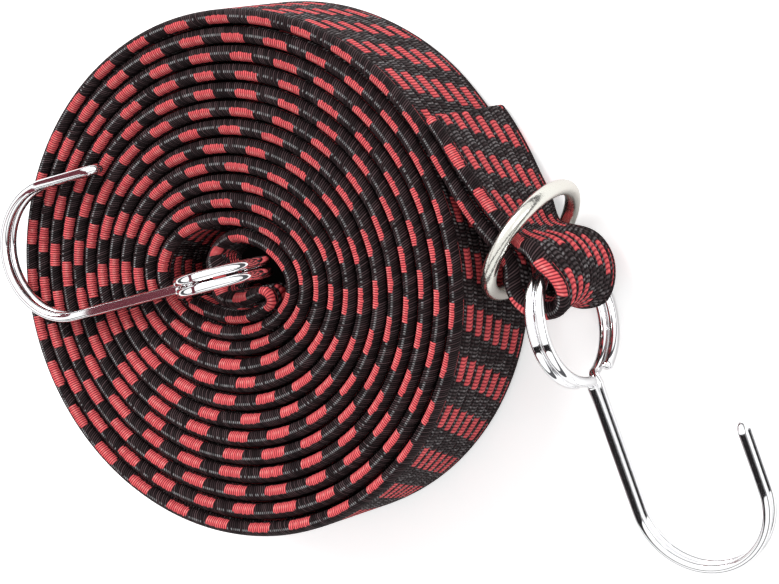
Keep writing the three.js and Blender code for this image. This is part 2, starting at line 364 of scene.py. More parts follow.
def face_threads(shade: Shade, finish: Weave, along: Value, across: Value, outer: Value) -> Threads:
    """Wide faces: ribs with beads, every second rib dashed in red.

    Args:
        shade: Node tree of the material.
        finish: Finish of the weave.
        along: Place along the strap.
        across: Place across its width.
        outer: One on the outer face, zero on the inner one.

    Returns:
        The threads, with painted highlights and painted sheen on the beads and painted shade between
        them.
    """
    column_place = across / COLUMN_PITCH - 0.5
    column = (column_place + 0.5).floor()
    aside = abs(column_place - column) * COLUMN_PITCH
    on_red = (RED_HALF - aside).above(0.0)
    over = (aside / RED_HALF) * on_red
    over = over + (COLUMN_PITCH / 2 - aside) / BLACK_HALF * (1.0 - on_red)
    count = along / finish.bead_pitch + on_red * 0.5 + over * finish.bead_arch
    bead = count.floor()
    rise = count.wave()
    lot = shade.random(bead + column * COLUMN_SEED + outer * FACE_SEED + on_red * RED_SEED)
    slope = (outer * 2.0 - 1.0) * finish.lean
    place = (bead + 0.5) * finish.bead_pitch + finish.dash_start
    place = place + (column + 0.5) * COLUMN_PITCH * slope
    dash = ((place + outer * finish.face_shift) / finish.dash_period).fraction()
    ragged = (RED_HALF - RED_MARGIN + (rise - 0.6) * 0.14 - aside).above(0.0, 0.1)
    # Painted shade, darker between the beads and towards each rib's sides, with a random tone
    painted_shade_and_tone = (rise ** 0.9) * (lot * 0.25 + 0.75) * (1.0 - over * over * 0.3)
    # Painted highlight on the beads, partway from each rib's middle to its side
    stitch = (0.34 - abs(over - 0.45)).above(0.0, 0.3)
    return Threads(
        red=ragged * (finish.dash_share - dash).above(0.0),
        painted_shade_and_tone=painted_shade_and_tone,
        # Painted sheen on the crests of the black beads
        black=(painted_shade_and_tone ** 2.4) * finish.face_painted_sheen_level,
        painted_highlight=stitch * (rise ** 3.0) * (lot ** 2.0) * finish.face_painted_highlight_level,
        height=rise * (1.0 - over * over * 0.6).most(0.0) * finish.face_relief,
    )


def weave_material(finish: Weave) -> Material:
    """Woven cover, with cross threads on the rolled edges and beads on the wide faces.

    Each point carries its place along the strap and across it, in millimetres, and its turn
    round the edge, from -1 on the inner face to 1 on the outer one. The red dashes follow a
    helix round the strap, so that they lean opposite ways on its two faces.
    """
    shade = Shade("weave")
    along, across, turn = shade.attribute("weave")
    on_edge = abs(across).above(FACE_HALF + FACE_MARGIN)
    on_face = 1.0 - on_edge
    edge = edge_threads(shade, finish, along, across.above(0.0), turn)
    face = face_threads(shade, finish, along, across, turn.above(0.0))
    shown = Threads(*(on_edge * one + on_face * other for one, other in zip(edge, face)))
    # The red goes from painted shade in the grooves to full red, then towards a painted glint
    reds = shade.mix(shown.painted_shade_and_tone.limited(), finish.red_painted_groove_shade, finish.red)
    reds = shade.mix(shown.glint, reds, finish.red_painted_glint)
    # The black, lightened by painted sheen and then by painted highlights
    blacks = shade.mix(shown.black.least(1.0), finish.black, finish.black_painted_sheen)
    highlighted_blacks = shade.mix(shown.painted_highlight.least(1.0), blacks, finish.painted_highlight)
    shade.set("Base Color", shade.mix(shown.red, highlighted_blacks, reds))
    shade.set("Roughness", finish.roughness)
    shade.set("Specular IOR Level", finish.gloss)
    shade.bump(shown.height, MM)
    return shade.material


def plain_material(name: str, finish: Plain) -> Material:
    """Material of one colour, with a fine grain if the finish has one."""
    shade = Shade(name)
    shade.set("Base Color", shade.colour(finish.colour))
    shade.set("Metallic", finish.metallic)
    shade.set("Roughness", finish.roughness)
    if finish.grain is not None:
        depth, size = finish.grain
        shade.bump(shade.noise(size), depth)
    return shade.material


# Meshes


def columns(*parts: Array | float) -> Array:
    """Numbers side by side in a last axis; a single number stands for a whole column."""
    return np.stack(np.broadcast_arrays(*parts), axis=-1)


def eased(share: Array) -> Array:
    """A share from 0 to 1 that starts and ends softly: three squares less two cubes."""
    return share**2 * (3.0 - 2.0 * share)


def grid_faces(rings: int, sides: int) -> Array:
    """Four-sided faces between rings of points that follow one another."""
    first = np.arange(rings - 1)[:, None] * sides
    side = np.arange(sides)[None, :]
    following = (side + 1) % sides
    faces = columns(first + side, first + sides + side, first + sides + following, first + following)
    return faces.reshape(-1, 4)


def signed_volume(points: Array, faces: Array) -> float:
    """Volume inside four-sided faces, positive where they point outwards."""
    a, b, c, d = (points[faces[:, corner]] for corner in range(4))
    halves = np.einsum("ij,ij->i", a, np.cross(b, c)) + np.einsum("ij,ij->i", a, np.cross(c, d))
    return float(halves.sum() / 6.0)


def leaving(end: Array, beside: Array) -> tuple[Array, Array]:
    """Centre of an end ring, and the direction in which the sweep goes out through it."""
    centre = end.mean(axis=0)
    run = centre - beside.mean(axis=0)
    return centre, run / np.linalg.norm(run)


def mesh_object(
    name: str, points: Array, faces: list[Sequence[int]], material: Material
) -> Object:
    """Adds an object made of faces to the scene."""
    mesh = bpy.data.meshes.new(name)
    mesh.from_pydata(points.tolist(), [], faces)
    mesh.materials.append(material)
    made = bpy.data.objects.new(name, mesh)
    bpy.context.scene.collection.objects.link(made)
    return made


def tube_object(
    name: str,
    rings: Array,
    material: Material,
    weave: Array | None = None,
    ring_closed: bool = False,
) -> Object:
    """Builds a tube through rings of points.

    Args:
        name: Name of the piece.
        rings: Points in millimetres from the roll's centre, shaped (rings, sides, 3).
        material: Its material.
        weave: Numbers that the weave's formulas read at each point, shaped like the rings.
        ring_closed: True if the last ring is joined to the first, as in a torus.

    Returns:
        The new object, linked to the scene, with its place in its mesh.
    """
    count, sides = rings.shape[:2]
    rings = (rings + ROUTE_PLACE) * MM
    points = rings.reshape(-1, 3)
    faces = grid_faces(count, sides)
    fans = np.empty((0, 3), dtype=int)
    last = (count - 1) * sides
    side = np.arange(sides)
    following = (side + 1) % sides
    if ring_closed:
        faces = np.concatenate([faces, columns(last + side, side, following, last + following)])
    flipped = signed_volume(points - points.mean(axis=0), faces) < 0.0
    if flipped:
        faces = faces[:, ::-1]
    carried = None if weave is None else weave.reshape(-1, 3)
    if not ring_closed:
        middle = len(points)
        points = np.concatenate([points, rings[[0, -1]].mean(axis=1)])
        if carried is not None:
            carried = np.concatenate([carried, weave[[0, -1]].mean(axis=1)])
        fans = np.concatenate(
            [columns(middle, side, following), columns(middle + 1, last + following, last + side)]
        )
        fans = fans[:, ::-1] if flipped else fans
    made = mesh_object(name, points, faces.tolist() + fans.tolist(), material)
    made.data.shade_smooth()
    if carried is not None:
        layer = made.data.attributes.new("weave", "FLOAT_VECTOR", "POINT")
        layer.data.foreach_set("vector", carried.astype(np.float32).ravel())
    return made


def natural_spline(knots: Array, values: Array, at: Array) -> Array:
    """Smooth curve through values at knots.

    The second derivatives solve the three-term equations of a cubic spline, with zero at both
    ends.
    """
    step = np.diff(knots)
    count = len(knots)
    inner = np.arange(1, count - 1)
    system = np.eye(count)
    system[inner, inner - 1] = step[:-1]
    system[inner, inner] = 2.0 * (step[:-1] + step[1:])
    system[inner, inner + 1] = step[1:]
    slope = np.diff(values, axis=0) / step[:, None]
    right = np.zeros_like(values)
    right[1:-1] = 6.0 * np.diff(slope, axis=0)
    second = np.linalg.solve(system, right)
    place = np.clip(np.searchsorted(knots, at, side="right") - 1, 0, count - 2)
    width = step[place][:, None]
    after = (at - knots[place])[:, None]
    before = width - after
    return (
        second[place] * before**3 / (6.0 * width)
        + second[place + 1] * after**3 / (6.0 * width)
        + (values[place] / width - second[place] * width / 6.0) * before
        + (values[place + 1] / width - second[place + 1] * width / 6.0) * after
    )


# Strap

# Inner end, from the cut end through the inner eye to the coil: x, y, mid height, width, thickness
INNER_ROUTE = (
    (-10.8, -5.7, 14, 28, 2.6),
    (-7.5, -6.85, 14, 28, 2.6),
    (-2.5, -7.55, 14, 28, 2.6),
    (2.2, -6.95, 14, 28, 2.6),
    (5.0, -5.65, 14, 28, 2.5),
    (6.25, -4.8, 14, 28, 2.4),
    (7.25, -4.1, 14, 28, 2.4),
    (7.25, -2.95, 14, 28, 2.4),
    (6.35, -2.1, 14, 28, 2.4),
    (4.4, -2.3, 15.5, 25, 2.4),
    (2.8, -3.1, 18.5, 20, 2.6),
    (1.2, -3.6, 22, 15.5, 3.0),
    (-0.1, -3.4, 25.2, 12, 3.4),
    (-1.2, -2.3, 28, 9.4, 4.0),
    (-1.75, -0.8, 28, 8.8, 4.4),
    (-2.1, 0.7, 28, 8.6, 4.5),
    (-2.55, 2.2, 28, 8.8, 4.4),
    (-3.0, 3.6, 27.8, 9.4, 4.0),
    (-3.5, 5.0, 24.6, 14, 3.2),
    (-3.3, 6.6, 20.6, 19, 2.8),
    (-2.2, 7.9, 17, 23.5, 2.6),
    (-0.3, 8.6, 14.6, 27, 2.6),
    (2.25, 8.4, 14, 28, 2.6),
    (6.2, 7.15, 14, 28, 2.6),
    (9.3, 5.0, 14, 28, 2.6),
    (11.3, 2.5, 14, 28, 2.6),
    (12.1, -0.1, 14, 28, 2.6),
    (11.6, -2.85, 14, 28, 2.6),
    (9.85, -5.65, 14, 28, 2.6),
    (6.8, -8.15, 14, 28, 2.6),
    (2.6, -9.95, 14, 28, 2.6),
    (-2.25, -10.72, 14, 28, 2.6),
    (-7.15, -10.3, 14, 28, 2.7),
    (-11.6, -8.75, 14, 28, 2.7),
    (-15.1, -6.3, 14, 28, 2.7),
    (-17.4, -3.35, 14, 28, 2.7),
)

# Outer end, from the coil to the clamp: x and y from the clamp's centre, width, thickness
MAIN_LAYER_ROUTE = (
    (-14.16, 17.95, 28, 2.8),
    (-8.26, 8.55, 26.0, 2.7),
    (-4.3, 2.75, 22.8, 2.9),
)

# Loop round the outer eye's wire: along the shank, across it, width, thickness, and how far
# the upper edge leans back over the eye
LOOP_ROUTE = (
    (-12.1, -4.7, 19.0, 2.9, 1.4),
    (-8.4, -4.8, 18.6, 2.9, 2.0),
    (-5.6, -4.2, 18.0, 2.8, 1.4),
    (-3.8, -2.3, 17.6, 2.8, 0.5),
    (-3.3, 0.0, 17.6, 2.8, 0.0),
    (-3.7, 2.2, 18.4, 2.8, 0.0),
    (-5.6, 4.2, 20.0, 2.8, 0.2),
    (-8.4, 4.9, 21.6, 2.9, 1.2),
    (-11.5, 4.45, 22.0, 2.9, 3.1),
    (-14.3, 2.75, 21.6, 3.0, 2.9),
    (-16.0, -0.6, 20.6, 3.2, 1.6),
)

# Folded layer, from the clamp back to the cut end: x and y from the clamp's centre, width,
# thickness
FOLDED_LAYER_ROUTE = (
    (-2.1, 5.85, 22.8, 2.9),
    (-5.16, 10.25, 25.4, 2.7),
    (-8.46, 15.05, 27.4, 2.6),
    (-11.86, 19.85, 28, 2.6),
    (-14.16, 22.75, 28, 2.6),
)


@dataclass(frozen=True)
class Coil:
    """The roll's own winding, on the strap's centre line. Millimetres."""

    radius: float = 51.5
    inner_half_width: float = 15.9
    inner_half_height: float = 11.0
    inner_centre: Pair = (-2.4, -0.1)
    steps_per_turn: int = 22
    steps: int = 250
    width: float = STRAP_WIDTH
    fill: float = 0.88
    first_thickness: float = 2.7

    def centres(self) -> Array:
        """Points from the hole outwards, wound clockwise; each half axis grows evenly.

        The last one lies half a step beyond the roll's full radius.
        """
        step = np.append(np.arange(self.steps + 1), self.steps + 0.5)
        share = step / self.steps
        angle = math.pi - math.tau * step / self.steps_per_turn
        half_width = self.inner_half_width + (self.radius - self.inner_half_width) * share
        half_height = self.inner_half_height + (self.radius - self.inner_half_height) * share
        x = self.inner_centre[0] * (1.0 - share) + half_width * np.cos(angle)
        y = self.inner_centre[1] * (1.0 - share) + half_height * np.sin(angle)
        return np.stack([x, y], axis=-1)

    def thicknesses(self) -> Array:
        """Thickness at which the strap nearly fills the space between the turns beside it.

        The space is measured along the level normal to the point a turn later; a layer takes
        the mean of the spaces on its two sides.
        """
        centre = self.centres()
        run = np.gradient(centre, axis=0)
        normal = np.stack([-run[:, 1], run[:, 0]], axis=-1)
        normal /= np.linalg.norm(normal, axis=1, keepdims=True)
        turn = self.steps_per_turn
        space = np.abs(np.einsum("ij,ij->i", centre[turn:] - centre[:-turn], normal[:-turn]))
        outside = np.concatenate([space, np.full(turn, space[-1])])
        inside = np.concatenate([np.full(turn, space[0]), space])
        thick = self.fill * (outside + inside) / 2.0
        share = np.clip(np.arange(len(thick)) / turn, 0.0, 1.0)
        return self.first_thickness * (1.0 - share) + thick * share


@dataclass(frozen=True)
class EyePlace:
    """Where an eye or ring stands: its centre, the azimuth it faces and its radius.

    Millimetres and degrees.
    """

    x: float
    y: float
    azimuth: float
    radius: float

    def axes(self) -> tuple[Array, Array]:
        """Level axes along the shank and across it, a quarter turn anticlockwise."""
        angle = math.radians(self.azimuth)
        along = np.array([math.cos(angle), math.sin(angle), 0.0])
        return along, np.cross([0.0, 0.0, 1.0], along)


OUTER_EYE = EyePlace(66.498, -4.098, -74.7, 11.9)
INNER_EYE = EyePlace(-1.3, 0.9, 196.6, 8.8)
CLAMP = EyePlace(57.458, 10.352, -30.0, 12.0)
CLAMPED_OFFSET = 1.9
CLAMPED_WIDTH = 19.6
CLAMPED_THICKNESS = 3.3

# The weave is stretched in the loop: millimetres of weave per millimetre of strap, and the
# length over which that begins and ends
LOOP_RATE = 0.84
LOOP_RATE_FADE = 2.0

# The core lies this far inside the strap's edges and faces; steps are dense points of the route
CORE_INSET = (1.65, 0.8)
CORE_STEP = 5
CORE_END_STEPS = 4

# Where the strap's pieces meet: coil steps after its start and before its end, and turns before
# its end
ROLL_START_STEPS = 4
LEAVING_STEPS = 6
SHOWN_TURNS = 1.35

# Closing of a cut end: rings, how far they reach, and how much thinner and lower the last one is
CLOSE_RINGS = 5
CLOSE_REACH = 0.8
CLOSE_SHRINK = (0.55, 0.55, 0.045)


class Route:
    """Dense centre line of the whole strap, with its width and thickness."""

    def __init__(self, coil: Coil, step: float) -> None:
        stations, self.marks = self._stations(coil)
        chord = np.linalg.norm(np.diff(stations[:, :3], axis=0), axis=1)
        knots = np.concatenate([[0.0], np.cumsum(chord)])
        self.knots = knots
        at = np.linspace(0.0, knots[-1], int(knots[-1] / step) + 1)
        dense = natural_spline(knots, stations, at)
        self.centre = dense[:, :3]
        self.width = dense[:, 3]
        self.thickness = dense[:, 4]
        self.lean = dense[:, 5]
        run = np.gradient(self.centre, axis=0)
        level = np.cross([0.0, 0.0, 1.0], run)
        self.depth = level / np.linalg.norm(level, axis=1, keepdims=True)
        lengths = np.linalg.norm(np.diff(self.centre, axis=0), axis=1)
        loop = self.marks["loop"]
        first, last = knots[loop], knots[loop + len(LOOP_ROUTE) - 1]
        places = [first - LOOP_RATE_FADE, first, last, last + LOOP_RATE_FADE]
        rate = np.interp(at, places, [1.0, LOOP_RATE, LOOP_RATE, 1.0])
        self.along = np.concatenate([[0.0], np.cumsum(lengths * rate[1:])])
        self.length = float(lengths.sum())
        self.parameter = at

    @staticmethod
    def _stations(coil: Coil) -> tuple[Array, dict[str, int]]:
        """Places that the route passes, and where in their list the coil and loop begin."""
        rows: list[Sequence[float]] = [*INNER_ROUTE]
        marks = {"coil": len(rows)}
        for (x, y), thickness in zip(coil.centres(), coil.thicknesses()):
            rows.append((x, y, MID_HEIGHT, coil.width, thickness))
        rows += Route._from_clamp(MAIN_LAYER_ROUTE)
        rows.append(Route._clamped(-1.0))
        along, across = OUTER_EYE.axes()
        eye = np.array([OUTER_EYE.x, OUTER_EYE.y, MID_HEIGHT])
        marks["loop"] = len(rows)
        for reach, aside, width, thickness, _ in LOOP_ROUTE:
            rows.append((*(eye + reach * along + aside * across), width, thickness))
        rows.append(Route._clamped(1.0))
        rows += Route._from_clamp(FOLDED_LAYER_ROUTE)
        lean = np.zeros(len(rows))
        lean[marks["loop"] : marks["loop"] + len(LOOP_ROUTE)] = [row[-1] for row in LOOP_ROUTE]
        return np.column_stack([np.array(rows, dtype=float), lean]), marks

    @staticmethod
    def _from_clamp(table: Sequence[Sequence[float]]) -> list[tuple[float, ...]]:
        """Places in a table of distances from the clamp."""
        return [(CLAMP.x + x, CLAMP.y + y, MID_HEIGHT, width, thick) for x, y, width, thick in table]

    @staticmethod
    def _clamped(side: float) -> tuple[float, ...]:
        """Place of one of the two layers inside the clamp."""
        _, across = CLAMP.axes()
        centre = np.array([CLAMP.x, CLAMP.y, MID_HEIGHT]) + side * CLAMPED_OFFSET * across
        return (*centre, CLAMPED_WIDTH, CLAMPED_THICKNESS)

    def nearest(self, station: float) -> int:
        """Index of the dense point at a station number, which may lie between two."""
        low = int(station)
        knot = self.knots[low]
        if low + 1 < len(self.knots):
            knot += (station - low) * (self.knots[low + 1] - knot)
        return int(np.abs(self.parameter - knot).argmin())


@dataclass(frozen=True)
class Section:
    """Outline of the strap: two wide faces and two rolled edges. Counts are per face or edge."""

    steps_per_rib: int
    edge_steps: int
    relief: float = 0.34

    def outline(self) -> tuple[Array, Array, Array]:
        """Place across the width, turn round the edge and share of rib height for each point.

        The outline starts at the crest of the upper edge and goes down the outer face.
        """
        quarter = np.linspace(0.0, 1.0, self.edge_steps + 1)[:-1]
        face_count = RIB_COUNT * self.steps_per_rib
        face = np.linspace(FACE_HALF, -FACE_HALF, face_count + 1)
        down = np.linspace(1.0, -1.0, 2 * self.edge_steps + 1)[1:-1]
        rising = np.linspace(-1.0, 0.0, self.edge_steps + 1)[1:-1]
        top, bottom, rise = (
            FACE_HALF + EDGE_DEPTH * np.cos(part * math.pi / 2.0) for part in (quarter, down, rising)
        )
        across = np.concatenate([top, face, -bottom, face[::-1], rise])
        turn = np.concatenate([quarter, np.ones_like(face), down, -np.ones_like(face), rising])
        column = across / COLUMN_PITCH - 0.5
        off = np.abs(column - np.round(column)) * COLUMN_PITCH
        beside = np.where(off < RED_HALF, off / RED_HALF, (COLUMN_PITCH / 2 - off) / BLACK_HALF)
        height = np.sqrt(np.clip(1.0 - beside**2, 0.0, 1.0))
        if self.steps_per_rib < 2:
            height = np.full_like(height, HIDDEN_RIB_HEIGHT)
        on_face = np.abs(across) <= FACE_HALF + 1e-6
        return across, turn, np.where(on_face, height, 1.0)


@dataclass(frozen=True)
class Saddle:
    """Move of the loop's faces along the shank where the strap turns inside the round eye.

    It acts round a middle on the shank, grows from a start over a length, and grows with the
    square of the height from mid height, less a level. Millimetres.
    """

    pull: float = 2.2
    middle: float = 9.0
    aside: float = 8.0
    half_height: float = 9.3
    start: float = 10.0
    length: float = 7.0
    level: float = 0.3

    def move(self, points: Array) -> Array:
        """How far each point moves."""
        along, across = OUTER_EYE.axes()
        offset = points - np.array([OUTER_EYE.x, OUTER_EYE.y, MID_HEIGHT])
        reach = offset @ along
        near = (np.abs(offset @ across) < self.aside) & (np.abs(reach + self.middle) < self.middle)
        turning = np.clip((reach + self.start) / self.length, 0.0, 1.0)
        height = (offset[..., 2] / self.half_height) ** 2
        pull = self.pull * turning**2 * (height - self.level)
        return np.where(near[..., None], pull[..., None] * along, 0.0)


class Strap:
    """The woven strap, in pieces that follow one another along one route."""

    def __init__(self, route: Route, material: Material) -> None:
        self.route = route
        self.material = material

    def rings(
        self, picked: Array, section: Section, inset: Pair = (0.0, 0.0)
    ) -> tuple[Array, Array]:
        """Points and weave numbers of the strap's outline at picked points of the route.

        Args:
            picked: Dense points of the route, one for each ring.
            section: Outline and its detail.
            inset: How far the outline lies inside the strap's edges and inside its faces.

        Returns:
            Points in millimetres and the weave's numbers, both shaped (rings, sides, 3).
        """
        across, turn, height = section.outline()
        route = self.route
        width = route.width[picked][:, None] - 2.0 * inset[0]
        half = route.thickness[picked][:, None] / 2.0 - inset[1]
        edge_depth = np.minimum(EDGE_DEPTH, EDGE_DEPTH_SHARE * width)
        flat_half = width / 2.0 - edge_depth
        beyond = np.clip(np.abs(across) - FACE_HALF, 0.0, None) / EDGE_DEPTH
        inside = np.clip(np.abs(across), None, FACE_HALF) / FACE_HALF
        up = np.sign(across) * (inside * flat_half + beyond * edge_depth)
        out = np.sin(turn * math.pi / 2.0) * (half - section.relief * (1.0 - height))
        centre = route.centre[picked][:, None, :]
        points = centre + out[..., None] * route.depth[picked][:, None, :]
        points[..., 2] += up
        raised = np.clip(up / (width / 2.0), 0.0, None) ** 2
        points -= (route.lean[picked][:, None] * raised)[..., None] * OUTER_EYE.axes()[1]
        points += Saddle().move(points)
        return points, columns(route.along[picked][:, None], across, turn)

    def piece(
        self,
        name: str,
        first: int,
        last: int,
        step: int,
        section: Section,
        open_first: bool = False,
        open_last: bool = False,
    ) -> Object:
        """Builds one length of the strap.

        Args:
            name: Name of the piece.
            first: First dense point of the route.
            last: Last dense point.
            step: Dense points per ring.
            section: Outline and its detail.
            open_first: True if the strap's cut end lies at the first point.
            open_last: True if the strap's cut end lies at the last point.

        Returns:
            The piece, riding on the cord's body in place of the CAD cover.
        """
        picked = np.unique(np.concatenate([np.arange(first, last, step), [last]]))
        points, numbers = self.rings(picked, section)
        if open_first:
            points, numbers = self._rounded_end(points[::-1], numbers[::-1], -1.0)
            points, numbers = points[::-1], numbers[::-1]
        if open_last:
            points, numbers = self._rounded_end(points, numbers, 1.0)
        made = tube_object(name, points, self.material, numbers)
        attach(made, Body.CORD.value)
        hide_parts("strap_cover")
        return made

    def core(self, material: Material) -> Object:
        """Builds the band of rubber strands inside the cover, in place of the CAD one."""
        last = len(self.route.along) - 1
        picked = np.arange(CORE_END_STEPS, last - CORE_END_STEPS, CORE_STEP)
        section = Section(steps_per_rib=1, edge_steps=3, relief=0.0)
        points, _ = self.rings(picked, section, CORE_INSET)
        made = tube_object("rubber_band", points, material)
        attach(made, Body.CORD.value)
        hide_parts("rubber_core")
        return made

    @staticmethod
    def _rounded_end(points: Array, numbers: Array, onward: float) -> tuple[Array, Array]:
        """Adds rings that close in on the last ring's centre along a quarter circle."""
        centre, run = leaving(points[-1], points[-2])
        angle = np.linspace(0.0, math.pi / 2.0, CLOSE_RINGS + 1)[1:, None, None]
        shrink = 1.0 - np.array(CLOSE_SHRINK) * (1.0 - np.cos(angle))
        extra = centre + (points[-1] - centre) * shrink + run * CLOSE_REACH * np.sin(angle)
        sides = np.repeat(numbers[-1:], CLOSE_RINGS, axis=0)
        sides[..., 0] += onward * CLOSE_REACH * np.sin(angle[..., 0])
        return np.concatenate([points, extra]), np.concatenate([numbers, sides])

    def build(self, coil: Coil) -> list[Object]:
        """Builds the strap in four pieces, each from the place where the one before it ends.

        The roll's ribs are left out where the wide faces are hidden between the turns.
        """
        route = self.route
        begin = route.marks["coil"]
        end = begin + coil.steps
        roll_start = route.nearest(begin + ROLL_START_STEPS)
        shown_start = route.nearest(end - SHOWN_TURNS * coil.steps_per_turn)
        shown_end = route.nearest(end - LEAVING_STEPS)
        last = len(route.along) - 1
        ribbed = Section(steps_per_rib=6, edge_steps=6)
        smooth = Section(steps_per_rib=1, edge_steps=6)
        return [
            self.piece("strap_inner_end", 0, roll_start, 3, ribbed, open_first=True),
            self.piece("strap_roll", roll_start, shown_start, 6, smooth),
            self.piece("strap_outer_turn", shown_start, shown_end, 5, ribbed),
            self.piece("strap_outer_end", shown_end, last, 3, ribbed, open_last=True),
        ]


# Wire parts

# Wire of both hooks: its radius, and half the distance between the middles of the two wires
WIRE_RADIUS = 1.0
WIRE_SPREAD = 1.15

# Cut end of a wire: reach of the rim in chamfers, and the flat cap's radius as a share of the rim's
RIM_REACH_SHARE = 0.6
CAP_RADIUS_SHARE = 0.9


def wire_rings(path: Array, radius: float, sides: int) -> Array:
    """Rings of a round wire along a path, carried from point to point without twist."""
    run = np.gradient(path, axis=0)
    run /= np.linalg.norm(run, axis=1, keepdims=True)
    angle = np.linspace(0.0, math.tau, sides, endpoint=False)
    start = np.array([0.0, 1.0, 0.0]) if abs(run[0, 1]) < 0.7 else np.array([0.0, 0.0, 1.0])
    side = np.cross(run[0], start)
    rings = []
    for point, direction in zip(path, run):
        side = side - side.dot(direction) * direction
        side /= np.linalg.norm(side)
        other = np.cross(direction, side)
        around = np.cos(angle)[:, None] * side + np.sin(angle)[:, None] * other
        rings.append(point + radius * around)
    return np.stack(rings)


def blunt_end(rings: Array, chamfer: float) -> Array:
    """Adds two narrower rings beyond a wire's last one, so that the cut end is blunt."""
    end = rings[-1]
    centre, run = leaving(end, rings[-2])
    narrow = centre + (end - centre) * (1.0 - chamfer / np.linalg.norm(end[0] - centre))
    rim = narrow + run * chamfer * RIM_REACH_SHARE
    cap = centre + (narrow - centre) * CAP_RADIUS_SHARE + run * chamfer
    return np.concatenate([rings, [rim, cap]])


@dataclass(frozen=True)
class WireHook:
    """Double wire hook: one wire, doubled at the tip, each end turned once as the eye."""

    name: str
    node: str
    body: Body
    eye: EyePlace
    height: float
    shank: Array
    tip_side: Array
    chamfer: float = 0.16
    neck_fillet: float = 2.0
    shank_length: float = 26.6
    bend_radius: float = 13.5
    tip_length: float = 12.0
    eye_end_angle: float = 19.0
    eye_twist: float = 0.0
    twist_fade: float = 5.0
    sides: int = 24
    eye_points: int = 110
    neck_points: int = 14
    shank_points: int = 10
    bend_points: int = 73
    tip_points: int = 7
    hairpin_points: int = 15

    def half_path(self) -> Array:
        """Half of the wire, from the cut end round the eye and down to the tip.

        Axes: x along the shank, y towards the tip's side, z across the two wires. The eye is
        an arc; a small arc touching it and the shank makes the neck; a half circle the bend.
        """
        spread = WIRE_SPREAD
        radius = self.eye.radius
        fillet = self.neck_fillet
        lift = spread + fillet
        reach = math.sqrt((radius + fillet) ** 2 - lift**2)
        join = math.atan2(lift, reach)
        eye_start = math.tau - math.radians(self.eye_end_angle)
        turn = np.linspace(eye_start, join, self.eye_points)
        share = np.linspace(0.0, 1.0, self.neck_points + 1)[1:]
        angle = math.pi + join + (0.5 * math.pi - join) * share
        neck_x, neck_z = reach + fillet * np.cos(angle), lift + fillet * np.sin(angle)
        start = radius + WIRE_RADIUS + self.shank_length
        straight = np.linspace(reach, start, self.shank_points + 2)[1:-1]
        sweep = np.linspace(0.0, math.pi, self.bend_points)
        bend_x = start + self.bend_radius * np.sin(sweep)
        bend_y = self.bend_radius * (1.0 - np.cos(sweep))
        back = np.linspace(start, start - self.tip_length, self.tip_points + 1)[1:]
        return np.concatenate(
            [
                columns(radius * np.cos(turn), spread, radius * np.sin(turn)),
                columns(neck_x, spread * (1.0 - eased(share)), neck_z),
                columns(straight, 0.0, spread),
                columns(bend_x, bend_y, spread),
                columns(back, 2.0 * self.bend_radius, spread),
            ]
        )

    def path(self) -> Array:
        """The whole wire: one half, the hairpin at the tip and the other half.

        The other half mirrors the first, and its eye and neck lie on the other side of it.
        """
        half = self.half_path()
        spread = WIRE_SPREAD
        tip_x, tip_y, _ = half[-1]
        angle = np.linspace(0.0, math.pi, self.hairpin_points + 2)[1:-1]
        hairpin = columns(tip_x - spread * np.sin(angle), tip_y, spread * np.cos(angle))
        other = half * np.array([1.0, 1.0, -1.0])
        other[: self.eye_points + self.neck_points, 1] *= -1.0
        return np.concatenate([half, hairpin, other[::-1]])

    def twisted(self) -> Array:
        """The wire with its eye turned a little about the shank; the turn fades out below it."""
        x, y, z = self.path().T
        share = np.clip((self.eye.radius + self.twist_fade - x) / self.twist_fade, 0.0, 1.0)
        angle = math.radians(self.eye_twist) * eased(share)
        cosine, sine = np.cos(angle), np.sin(angle)
        return columns(x, y * cosine - z * sine, y * sine + z * cosine)

    def build(self, material: Material) -> Object:
        """Builds the hook in place of its CAD node."""
        stack = np.cross(self.shank, self.tip_side)
        turned = self.twisted() @ np.stack([self.shank, self.tip_side, stack])
        centre = np.array([self.eye.x, self.eye.y, self.height])
        rings = wire_rings(turned + centre, WIRE_RADIUS, self.sides)
        rings = blunt_end(blunt_end(rings, self.chamfer)[::-1], self.chamfer)[::-1]
        made = tube_object(self.name, rings, material)
        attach(made, self.body.value)
        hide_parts(self.node)
        return made


def outer_hook() -> WireHook:
    """The hook beside the roll, pitched down until its bend rests on the ground."""
    along, across = OUTER_EYE.axes()
    reach = OUTER_EYE.radius + WIRE_RADIUS + WireHook.shank_length + WireHook.bend_radius
    drop = math.asin((MID_HEIGHT - WIRE_RADIUS) / math.hypot(reach, WIRE_SPREAD))
    pitch = drop - math.atan2(WIRE_SPREAD, reach)
    return WireHook(
        name="outer_hook_wire",
        node="outer_hook",
        body=Body.OUTER_HOOK,
        eye=OUTER_EYE,
        height=MID_HEIGHT,
        shank=along * math.cos(pitch) - np.array([0.0, 0.0, math.sin(pitch)]),
        tip_side=across,
        eye_twist=5.0,
    )


def inner_hook() -> WireHook:
    """The hook that lies flat on the roll's upper face, its lower wire a touch above it."""
    along, across = INNER_EYE.axes()
    return WireHook(
        name="inner_hook_wire",
        node="inner_hook",
        body=Body.INNER_HOOK,
        eye=INNER_EYE,
        height=STRAP_WIDTH + TOUCH_GAP + WIRE_RADIUS + WIRE_SPREAD,
        shank=along,
        tip_side=-across,
    )


